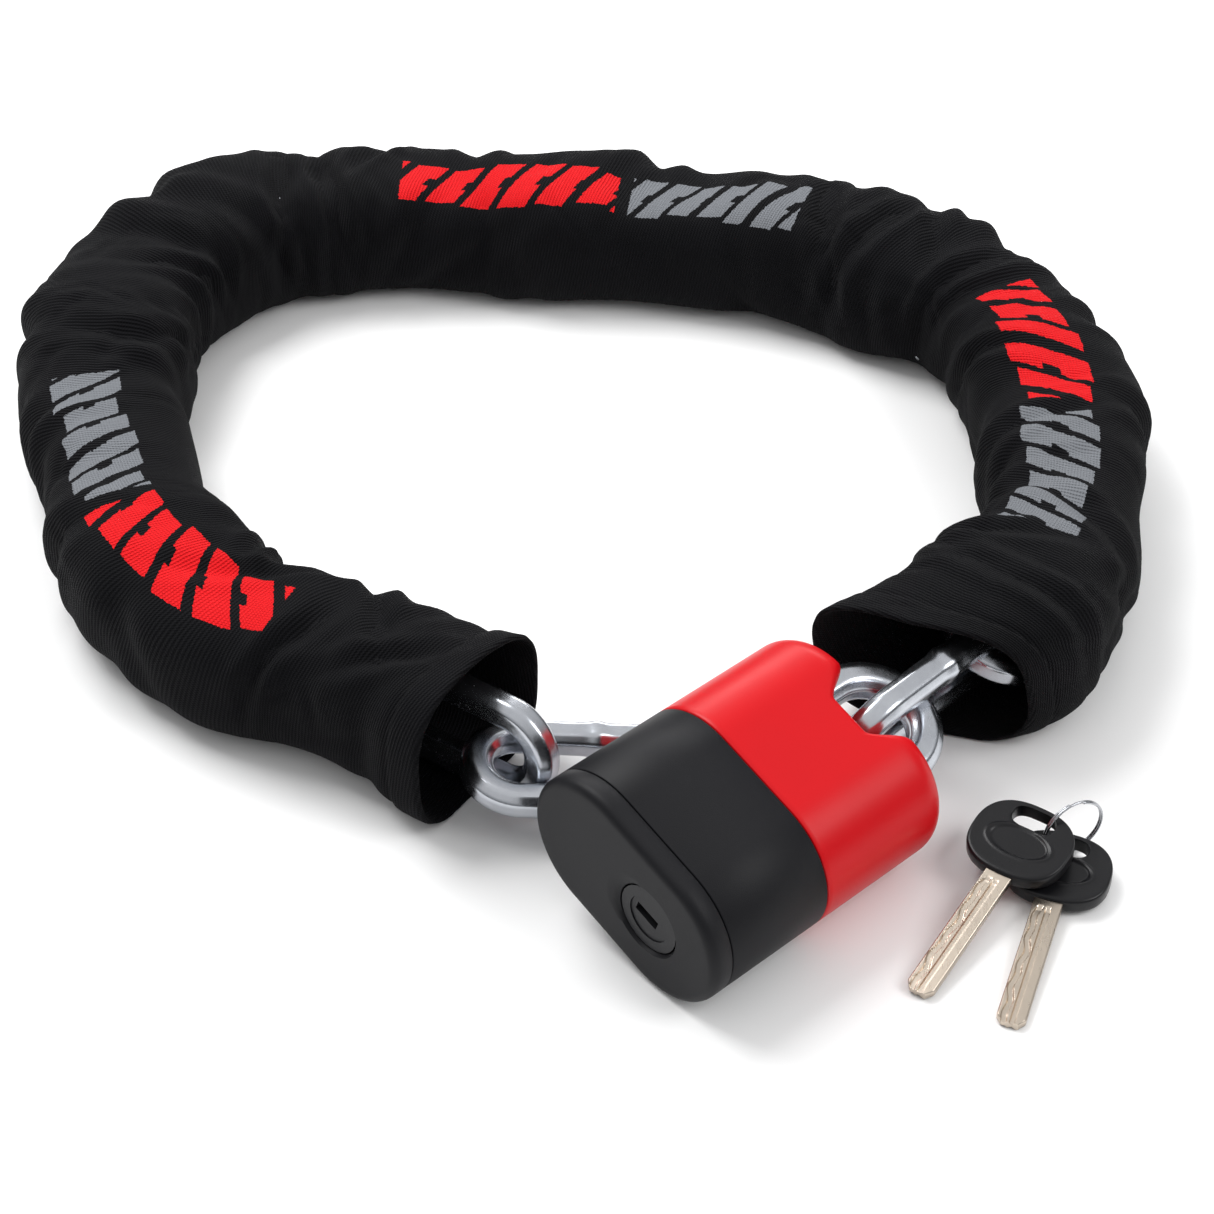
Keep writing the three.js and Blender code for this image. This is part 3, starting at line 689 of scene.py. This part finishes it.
def bar_section(size, count=48):
    """Radius at each angle: the soft minimum of the distances to eight faces."""
    angle = np.linspace(0, 2 * np.pi, count, endpoint=False)
    faces = np.arange(8) * np.pi / 4
    far = np.where(np.arange(8) % 2 == 0, size / 2, size / 2 * 1.046)
    near = np.clip(np.cos(angle[:, None] - faces), 0, None) / far
    radius = (near**CORNER_POWER).sum(1) ** (-1 / CORNER_POWER)
    return radius * np.cos(angle), radius * np.sin(angle)


def axes_of(node):
    """A node's middle and its long, wide and thin directions, from its own points."""
    data = frame["nodes"][node].data
    co = np.zeros(len(data.vertices) * 3)
    data.vertices.foreach_get("co", co)
    co = np.unique(co.reshape(-1, 3).round(6), axis=0)
    turned = np.linalg.eigh(np.cov(co.T))[1][:, ::-1]
    spread = co @ turned
    middle = turned @ ((spread.min(0) + spread.max(0)) / 2)
    long, wide = turned[:, 0], turned[:, 1]
    long = long * (1 if long[0] > 0 else -1)
    wide = wide * (1 if wide[1] + 1.2 * wide[2] > 0 else -1)
    return middle, long, wide, np.cross(long, wide)


def link_points(node):
    """The section carried round two half circles and two straights, with a weld
    bulge, a bell over 5 mm, in the middle of one straight."""
    middle, long, wide, thin = axes_of(node)
    r = (LINK_WIDTH - BAR) / 2
    straight = LINK_LENGTH / 2 - BAR / 2 - r
    loop = 4 * straight + 2 * np.pi * r
    s = np.linspace(0, loop, 168, endpoint=False)
    turn = np.select(
        [s < 2 * straight, s < 2 * straight + np.pi * r, s < 4 * straight + np.pi * r],
        [0 * s, (s - 2 * straight) / r, np.pi + 0 * s],
        np.pi + (s - 4 * straight - np.pi * r) / r,
    )
    a = turn + np.pi / 2
    run = np.select(
        [s < 2 * straight, s < 2 * straight + np.pi * r, s < 4 * straight + np.pi * r],
        [straight - s, -straight + 0 * s, s - 3 * straight - np.pi * r],
        straight + 0 * s,
    )
    cx, cy = run + r * np.cos(a), r * np.sin(a)
    weld_bump = np.exp(-(((s - straight) / (2.4 * MM)) ** 2))
    x, y = bar_section(BAR)
    grow = 1 + 0.13 * weld_bump[:, None]
    ux, uy = np.cos(a)[:, None], np.sin(a)[:, None]
    px = cx[:, None] + ux * x * grow
    py = cy[:, None] + uy * x * grow
    pz = y * grow
    return (
        middle + px[..., None] * long + py[..., None] * wide + pz[..., None] * thin
    )


def dress(node, make, material, slot, **options):
    """Puts a finished surface in the place of a CAD node, on the same body."""
    body = frame["nodes"][node]["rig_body"]
    made = piece(node + "_surface", make, body, material, **options)
    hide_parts(node)
    return made


for index in range(1, 17):
    node = f"link_{index:02d}"
    dress(node, link_points(node), zinc, "zinc_steel", wrap_rows=True)
print("links dressed: 16")

# %% [markdown]
# ## The lock's own directions
# The lock lies on its side, turned and rolled. Its joints say where its axes are:
# the shackle slides along its length, and the lock swings about its width.

# %% Lock axes
lock_y = np.array(joints["shackle_pull"]["axis"])
lock_x = -np.array(joints["lock_swing"]["axis"])
lock_x, lock_y = lock_x / np.linalg.norm(lock_x), lock_y / np.linalg.norm(lock_y)
lock_z = np.cross(lock_x, lock_y)
CROWN_Y = 119 * MM
lock_at = np.array(joints["shackle_pull"]["pos_m"]) - CROWN_Y * lock_y
LOCK_WIDTH, LOCK_THICK = 77 * MM, 48 * MM
CAP_END, BLACK_END, HOOD_END = 7.2 * MM, 44.8 * MM, 97 * MM
PLUG_X = 10.6 * MM


def in_lock(x, y, z):
    """Points given across, along and through the lock, as places in the frame."""
    x, y, z = np.broadcast_arrays(x, y, z)
    return lock_at + x[..., None] * lock_x + y[..., None] * lock_y + z[..., None] * lock_z


def stadium(inset, per_end=44, per_side=30):
    """Across and through, round a stadium drawn in by inset. The two half circles
    shrink to points and the straight sides to one line as inset grows."""
    flat = (LOCK_WIDTH - LOCK_THICK) / 2
    r = LOCK_THICK / 2 - np.asarray(inset, float)[..., None]
    end = np.linspace(-np.pi / 2, np.pi / 2, per_end + 1)[:-1]
    side = np.linspace(1, -1, per_side + 1)[:-1]
    round_x, round_z = flat + r * np.cos(end), r * np.sin(end)
    side_x, side_z = flat * side + 0 * r, r + 0 * side
    x = np.concatenate([round_x, side_x, -round_x, -side_x], -1)
    z = np.concatenate([round_z, side_z, -round_z, -side_z], -1)
    return x, z


print("lock lies at", lock_at.round(4))

# %% [markdown]
# ## The red hood
# The hood is a moulded shell with a strongly rounded top edge. A smooth notch runs
# through it, and a pit behind its front wall takes the end of a chain link. Its
# height is a formula over the top, and each wall column stops where its own part of
# the rounded edge begins, so the notch and the edge are one surface.

# %% Hood surface
NOTCH_FLOOR = 84 * MM
NOTCH_HALF = 13.0 * MM
PIT_FLOOR = 81.2 * MM


def hood_top(x, z):
    """Height of the top: the crown, less a smooth notch, less a shallow pit in it."""
    shoulder = smoothstep(np.abs(x), NOTCH_HALF - 6.5 * MM, NOTCH_HALF + 3.5 * MM)
    height = NOTCH_FLOOR + (HOOD_END - NOTCH_FLOOR) * shoulder
    pit = 1 - smoothstep(np.abs(x), 8 * MM, 12.5 * MM)
    pit = pit * (1 - smoothstep(np.abs(z), 14.5 * MM, 18.5 * MM))
    return height - (NOTCH_FLOOR - PIT_FLOOR) * pit


def hood_points():
    """Rows run from the inner roof down the inner wall, round the foot, up the
    outer wall, over the rounded edge and in to the middle line."""
    half = LOCK_THICK / 2 - 0.01 * MM
    low, skin = BLACK_END + 0.3 * MM, 2 * MM
    x0, z0 = stadium(0.0)
    shoulder = smoothstep(np.abs(x0), 8 * MM, 17 * MM)
    edge = (3.2 + 5.8 * shoulder) * MM
    wall_top = hood_top(x0, z0) - edge
    rows = []
    for share in np.linspace(1, 0, 5):
        x, z = stadium(skin + (half - skin) * share)
        rows.append((x, 80.8 * MM + 0 * x, z))
    x, z = stadium(skin)
    rows.append((x, low + 0.3 * MM + 0 * x, z))
    x, z = stadium(skin - 0.3 * MM)
    rows.append((x, low + 0 * x, z))
    x, z = stadium(0.35 * MM)
    rows.append((x, low + 0 * x, z))
    for share in np.linspace(0, 1, 26):
        y = low + 0.35 * MM + (wall_top - low - 0.35 * MM) * share
        rows.append((x0, y, z0))
    flat = (LOCK_WIDTH - LOCK_THICK) / 2
    for step in np.linspace(0, 1, 15)[1:]:
        angle = step * np.pi / 2
        inset = edge * (1 - math.cos(angle))
        k = (LOCK_THICK / 2 - inset) / (LOCK_THICK / 2)
        x = np.where(np.abs(x0) > flat, np.sign(x0) * (flat + (np.abs(x0) - flat) * k), x0)
        z = z0 * k
        y = hood_top(x, z) - edge * (1 - math.sin(angle))
        rows.append((x, y, z))
    for share in np.linspace(0, 1, 26)[1:]:
        k = (1 - edge / (LOCK_THICK / 2)) * (1 - share)
        x = np.where(np.abs(x0) > flat, np.sign(x0) * (flat + (np.abs(x0) - flat) * k), x0)
        z = z0 * k
        rows.append((x, hood_top(x, z), z))
    x, y, z = (np.stack(part) for part in zip(*rows))
    return in_lock(x, y, z)


dress("red_hood", hood_points(), hood_red, "red_plastic")
print("hood top at", HOOD_END, "notch floor at", NOTCH_FLOOR)

# %% [markdown]
# ## Black cover and end cap
# The cover is a plain moulded tube over the core. The end cap closes the lock, with
# a soft 3 mm edge round its face and a round opening for the cylinder.

# %% Cover and cap surfaces


def tube_points(low, high, skin, edge):
    """A closed band: out over the foot, up, over the top edge and down inside."""
    profile = [
        (edge, low), (0, low + edge), (0, high - edge), (edge, high),
        (skin - edge, high), (skin, high - edge), (skin, low + edge), (skin - edge, low),
    ]
    x, z = stadium(np.array([p[0] for p in profile]))
    y = np.array([p[1] for p in profile])[:, None]
    return in_lock(x, y, z)


def cap_points(hole=11.5 * MM, fillet=3 * MM):
    """A closed ring: the opening's wall, the face, the rounded edge, the side and
    the back. Each face row is a mix of the hole's circle and the outline."""
    x0, z0 = stadium(0.0)
    angle = np.arctan2(z0, x0 - PLUG_X)
    hx, hz = PLUG_X + hole * np.cos(angle), hole * np.sin(angle)
    xf, zf = stadium(fillet)
    rows = [(hx, CAP_END + 0 * hx, hz), (hx, 0.9 * MM + 0 * hx, hz)]
    for share in np.linspace(0.05, 1, 10):
        rows.append((hx + (xf - hx) * share, 0 * hx, hz + (zf - hz) * share))
    for step in np.linspace(0, 1, 9)[1:]:
        a = step * np.pi / 2
        x, z = stadium(fillet * (1 - math.sin(a)))
        rows.append((x, fillet * (1 - math.cos(a)) + 0 * x, z))
    rows.append((x0, CAP_END - 0.3 * MM + 0 * x0, z0))
    x, z = stadium(0.3 * MM)
    rows.append((x, CAP_END + 0 * x0, z))
    x, y, z = (np.stack(part) for part in zip(*rows))
    return in_lock(x, y, z)


dress("black_cover", tube_points(CAP_END + 0.3 * MM, BLACK_END, 2 * MM, 0.25 * MM),
      cover_black, "black_plastic", wrap_rows=True, crease=50)
dress("end_cap", cap_points(), cover_black, "black_plastic", wrap_rows=True, crease=50)
print("cap and cover dressed")

# %% [markdown]
# ## Shackle
# The shackle is the same chamfered bar as the chain, a little thicker, bent into a
# U. Its heel leg is long and stays in the lock; its toe leg is short.

# %% Shackle surface
SHACKLE_BAR = 10.5 * MM
LEG = 17 * MM
ARCH_Y = 102 * MM


def shackle_points():
    """The bar's section carried up the heel leg, round the arch and down the toe leg,
    with both ends drawn in to close them. In a locking notch the inner side is
    flattened to one plane, so the notch has straight walls and a flat floor."""
    starts, steps = np.array([[51.4], [69.4]]), np.array([0, 0.05, 7.15, 7.2])
    edges = (starts + steps).ravel() * MM  # each notch is 7.2 mm long, its walls steep
    heel_y = np.sort(np.r_[np.linspace(24 * MM, ARCH_Y, 24), edges])
    toe_y = np.sort(np.r_[np.linspace(60 * MM, ARCH_Y, 16), edges[4:]])[::-1]
    heel = np.stack([0 * heel_y - LEG, heel_y], -1)
    a = np.linspace(np.pi, 0, 50)[1:-1]
    arch = np.stack([LEG * np.cos(a), ARCH_Y + LEG * np.sin(a)], -1)
    toe = np.stack([0 * toe_y + LEG, toe_y], -1)
    line = np.vstack([heel, arch, toe])
    ahead = np.gradient(line, axis=0)
    ahead /= np.linalg.norm(ahead, axis=1)[:, None]
    side = np.stack([-ahead[:, 1], ahead[:, 0]], -1)
    x, y = bar_section(SHACKLE_BAR)
    grow = np.ones(len(line))
    line = np.vstack([line[:1], line[:1], line, line[-1:], line[-1:]])
    side = np.vstack([side[:1], side[:1], side, side[-1:], side[-1:]])
    grow = np.r_[0.001, 0.9, grow, 0.9, 0.001]
    line[2:4, 1] += [0.6 * MM, 0.0]
    line[-3, 1] += 0.6 * MM
    px = line[:, None, 0] + side[:, None, 0] * x * grow[:, None]
    py = line[:, None, 1] + side[:, None, 1] * x * grow[:, None]
    upper, lower = ((line[:, 1] > edges[k] + 0.02 * MM) & (line[:, 1] < edges[k + 3] - 0.02 * MM)
                    for k in (4, 0))
    on_heel, depth = line[:, 0] < 0, LEG - 1.2 * MM
    px = np.where(((upper | lower) & on_heel)[:, None], np.minimum(px, -depth), px)
    px = np.where((upper & ~on_heel)[:, None], np.maximum(px, depth), px)
    return in_lock(px, py, y * grow[:, None])


dress("shackle", shackle_points(), zinc, "zinc_steel", crease=50)
print("shackle dressed")

# %% Inner pieces keep their CAD shape
# The cylinder's face is black plastic; inside the keyway its colour carries painted shade.
barrel = Paint("barrel_black", Specular_IOR_Level=0.3)
barrel_place = barrel.place()
from_mouth = barrel.node(
    "ShaderNodeVectorMath", {"operation": "DOT_PRODUCT"},
    {0: barrel_place, 1: tuple(lock_y)}, "Value",
) - float(lock_at @ lock_y)
# Painted shade: from 1.6 mm deep into the keyway the colour fades to near black over 2.5 mm,
# standing in for the shade in the recess, and the roughness rises with it.
keyway_painted_shade = ((from_mouth - 1.6 * MM) / (2.5 * MM)).clip()
speckle = barrel.noise(barrel_place, 1800.0, 2.0, 0.6)
face = barrel.mix(speckle, srgb(16, 16, 19), srgb(25, 25, 29))
barrel.feed(
    # The face colour mixed towards near black by depth: painted shade in the keyway.
    Base_Color=barrel.mix(keyway_painted_shade, face, srgb(3, 3, 3)),
    Roughness=speckle * 0.15 + 0.4 + keyway_painted_shade * 0.4,
    Normal=barrel.bump(speckle, 0.00004),
)
plain = {
    "lock_core": zinc, "cylinder_housing": barrel.material, "key_plug": barrel.material,
    "plug_tail": spring_steel, "toe_bolt": zinc, "heel_bolt": zinc,
}
for k in range(1, 6):
    plain[f"key_pin_{k}"] = brass
    plain[f"driver_pin_{k}"] = spring_steel
    plain[f"pin_spring_{k}"] = spring_steel
for k in (1, 2):
    plain[f"cap_screw_{k}"] = spring_steel
for node, material in plain.items():
    for slot in frame["nodes"][node].material_slots:
        slot.material = material
print("inner pieces painted:", len(plain))

# %% [markdown]
# ## Keys
# A key has a moulded bow with a slot for the ring and an oval panel, and a milled
# blade. The bow is one closed sheet that runs from the slot's edge over the top to
# the rim, back underneath, and up through the slot.

# %% Key surfaces
BOW_WIDE, BOW_LONG, BOW_THICK = 31 * MM, 27 * MM, 5 * MM
BLADE_WIDE, BLADE_THICK = 8.5 * MM, 2.6 * MM
BLADE_TOP, BLADE_TIP = -12.4 * MM, -69.5 * MM


def key_axes(index):
    """The ring slot's middle and the key's across, along and up, from the blade and
    bow nodes."""
    _, long, _, _ = axes_of(f"key_{index}_blade")
    blade_low, blade_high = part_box(f"key_{index}_blade")
    bow_low, bow_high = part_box(f"key_{index}_bow")
    blade_mid = np.array((blade_low + blade_high) / 2)
    bow_mid = np.array((bow_low + bow_high) / 2)
    along = long * (1 if (bow_mid - blade_mid) @ long > 0 else -1)
    flat_x = np.cross(along, (0, 0, 1))
    flat_x /= np.linalg.norm(flat_x)
    rise = np.cross(flat_x, along)
    middle = blade_mid - along * (BLADE_TOP + BLADE_TIP) / 2
    return middle - rise * BOW_THICK / 2, flat_x, along, rise


def in_key(axes, x, y, z):
    at, ex, ey, ez = axes
    x, y, z = np.broadcast_arrays(x, y, z)
    return at + x[..., None] * ex + y[..., None] * ey + z[..., None] * ez


def bow_points(axes):
    """Rows mix the slot's edge and the rim; the faces dip in an oval panel and round
    off at both edges."""
    a = np.linspace(0, 2 * np.pi, 144, endpoint=False)
    power = lambda v, p: np.sign(v) * np.abs(v) ** p
    rim_x = BOW_WIDE / 2 * power(np.cos(a), 0.8)
    rim_y = -8.5 * MM + BOW_LONG / 2 * power(np.sin(a), 0.8)
    t = np.arctan2(rim_y, rim_x)
    slot_x, slot_y = 6.8 * MM * power(np.cos(t), 0.6), 3.5 * MM * power(np.sin(t), 0.75)
    share = np.r_[0, 0.02, 0.05, np.linspace(0.08, 0.92, 40), 0.95, 0.98, 1]
    drop = np.r_[0.7, 0.2, 0.04, np.zeros(40), 0.05, 0.25, 1.0] * MM
    x = slot_x + (rim_x - slot_x) * share[:, None]
    y = slot_y + (rim_y - slot_y) * share[:, None]
    oval = np.hypot(x / (9.5 * MM), (y + 9.6 * MM) / (5.2 * MM))
    panel = 0.45 * MM * (1 - smoothstep(oval, 0.9, 1.02))
    lip = 0.18 * MM * np.exp(-(((oval - 1.1) / 0.05) ** 2))
    half = BOW_THICK / 2 - drop[:, None] - panel + lip
    mid = BOW_THICK / 2
    x, y = np.vstack([x, x[::-1]]), np.vstack([y, y[::-1]])
    z = np.vstack([mid + half, (mid - half)[::-1]])
    return in_key(axes, x, y, z)


def blade_points(axes):
    """A flat bar, its tip cut to a blunt point, with a straight middle groove and a
    wavy milled track beside it on both faces."""
    y = np.r_[BLADE_TOP, np.linspace(BLADE_TOP, BLADE_TIP, 190), BLADE_TIP]
    half = BLADE_WIDE / 2 * np.ones_like(y)
    tip = np.clip((y - BLADE_TIP) / (2.2 * MM), 0, 1)
    half = half * (0.6 + 0.4 * tip)
    close = np.ones_like(y)
    close[[0, -1]] = 0.001
    across_top = np.linspace(-1, 1, 46)
    x_unit = np.r_[across_top, across_top[::-1]]
    side = np.r_[np.ones(46), -np.ones(46)]
    x = half[:, None] * x_unit
    bevel = 0.35 * MM * smoothstep(np.abs(x_unit), 0.93, 1.0)
    groove = 0.6 * MM * (1 - smoothstep(np.abs(x - 0.6 * MM), 0.6 * MM, 0.85 * MM))
    in_cut = smoothstep(-y, 24 * MM, 26 * MM)[:, None]
    wave = -2.2 * MM + 0.7 * MM * np.sin(y / (2.1 * MM)) * np.sin(y / (5.3 * MM))
    track = 0.65 * MM * (1 - smoothstep(np.abs(x - wave[:, None]), 0.7 * MM, 1.0 * MM))
    depth = BLADE_THICK / 2 - bevel - (groove + track) * in_cut
    z = BOW_THICK / 2 + side * depth * close[:, None]
    return in_key(axes, x * close[:, None], y[:, None], z)


for index in (1, 2):
    axes = key_axes(index)
    dress(f"key_{index}_bow", bow_points(axes), bow_black, "black_plastic",
          wrap_rows=True, crease=60)
    dress(f"key_{index}_blade", blade_points(axes), blade_metal, "nickel_brass", crease=35)
print("keys dressed: 2")

# %% [markdown]
# ## Split ring
# A split ring is two turns of springy wire pressed side by side. Its line is a
# circle that steps sideways by one wire over half a turn.

# %% Ring surface


def ring_points():
    """A round wire carried along a two-turn circle of 9.8 mm radius."""
    middle, long, wide, thin = axes_of("key_ring")
    turns = np.linspace(0.03, 1.97, 240)
    a = 2 * np.pi * turns
    offset = (smoothstep(turns, 0.75, 1.25) - 0.5) * 0.8 * MM
    radius = 9.8 * MM
    out = np.cos(a)[:, None] * long + np.sin(a)[:, None] * wide
    line = middle + radius * out + offset[:, None] * thin
    w = np.linspace(0, 2 * np.pi, 14, endpoint=False)
    size = np.full(len(a), 0.42 * MM)
    size[[0, -1]] = 0.001 * MM
    return (
        line[:, None]
        + size[:, None, None] * (np.cos(w)[:, None] * out[:, None] + np.sin(w)[:, None] * thin)
    )


dress("key_ring", ring_points(), spring_steel, "steel")
print("ring dressed")
